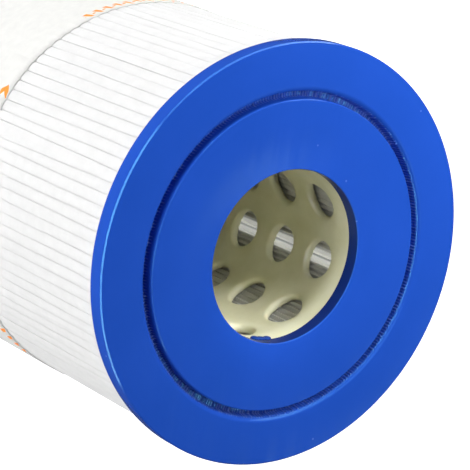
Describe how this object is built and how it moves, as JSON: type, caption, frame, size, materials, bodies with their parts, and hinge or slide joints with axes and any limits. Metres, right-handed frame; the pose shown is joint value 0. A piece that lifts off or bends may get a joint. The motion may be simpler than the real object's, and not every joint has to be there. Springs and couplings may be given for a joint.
{
  "type": "filter cartridge",
  "caption": "Pleated pool and spa filter cartridge: a folded white sheet round a perforated core, cast into blue open end caps, with wrap bands round the pleats.",
  "frame": {"origin": "centre of the rear end cap's outer face, on the cartridge's axis", "axes": "+Z along the cartridge's axis, towards the front end cap; +X and +Y across it"},
  "size_m": [0.1254, 0.1254, 0.3381],
  "materials": {
    "cap_blue": "satin",
    "core_ivory": "satin",
    "media_white": "matte",
    "band_white": "matte"
  },
  "bodies": {
    "root": {"front_end_cap": "cap_blue", "rear_end_cap": "cap_blue", "core_tube": "core_ivory", "pleat_pack": "media_white", "front_wrap_band": "band_white", "rear_wrap_band": "band_white"}
  },
  "joints": []
}
